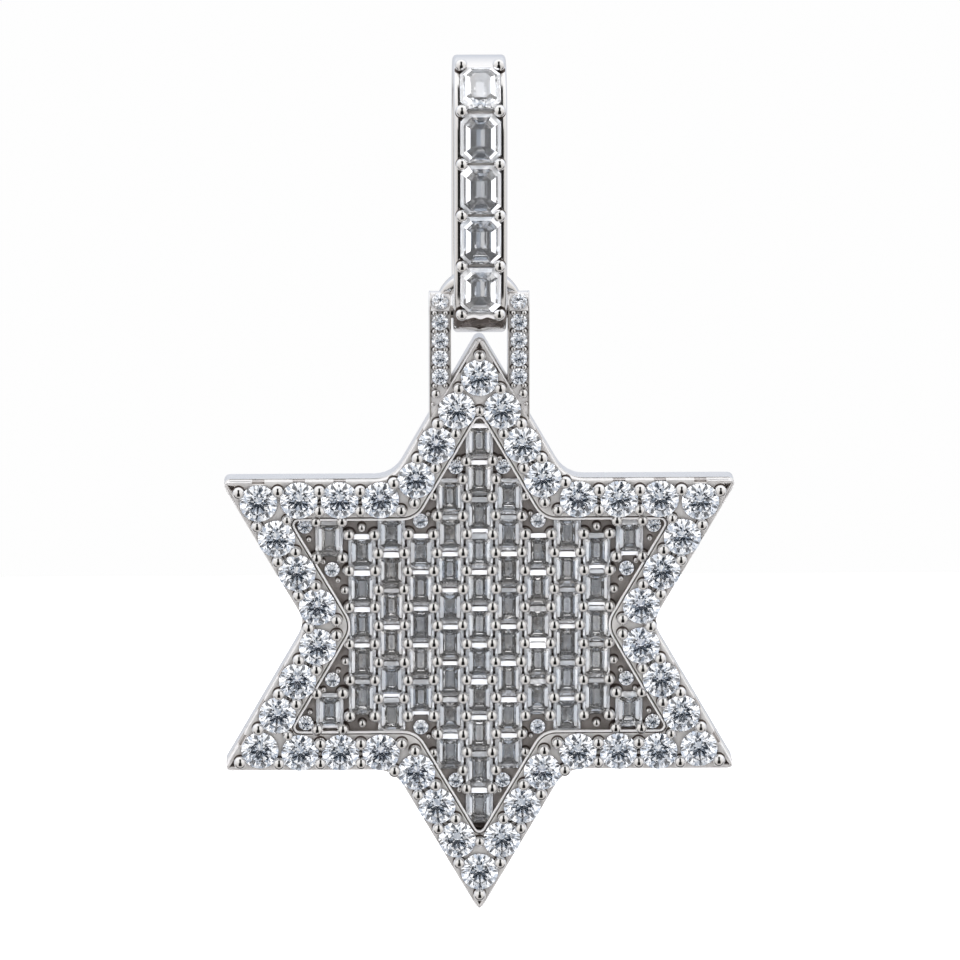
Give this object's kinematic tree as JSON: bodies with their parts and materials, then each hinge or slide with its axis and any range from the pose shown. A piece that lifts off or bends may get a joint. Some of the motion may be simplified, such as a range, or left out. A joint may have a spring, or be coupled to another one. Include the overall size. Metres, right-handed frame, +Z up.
{
  "type": "pendant",
  "caption": "Six-pointed star pendant set with stones, hinged by a pin under a tall oval bail; brilliants round the edge and baguettes in the sunk field.",
  "frame": {"origin": "inner top of the bail's loop, where the chain carries the pendant", "axes": "+Z up, the front with the stones faces -Y, +X to the right as seen from the front"},
  "size_m": [0.0396, 0.0128, 0.0679],
  "materials": {
    "metal": "polished white metal with a bright plating, dark in its recesses",
    "emerald_stone": "clear colourless step-cut stone",
    "border_stone": "clear colourless round brilliant",
    "baguette_stone": "clear colourless baguette",
    "small_stone": "clear colourless small round stone"
  },
  "bodies": {
    "bail": {"bail_frame": "metal", "bail_stone_1": "emerald_stone", "bail_stone_2": "emerald_stone", "bail_stone_3": "emerald_stone", "bail_stone_4": "emerald_stone", "bail_stone_5": "emerald_stone"},
    "star": {"star_frame": "metal", "hinge_pin": "metal", "border_stones": "border_stone", "field_baguettes": "baguette_stone", "field_rounds": "small_stone", "ear_stones_left": "small_stone", "ear_stones_right": "small_stone"}
  },
  "joints": [
    {"name": "star_hinge", "type": "hinge", "parent": "bail", "child": "star", "pos_m": [0, 0, -0.01885], "axis": [1, 0, 0], "range_deg": [-25, 25]}
  ]
}
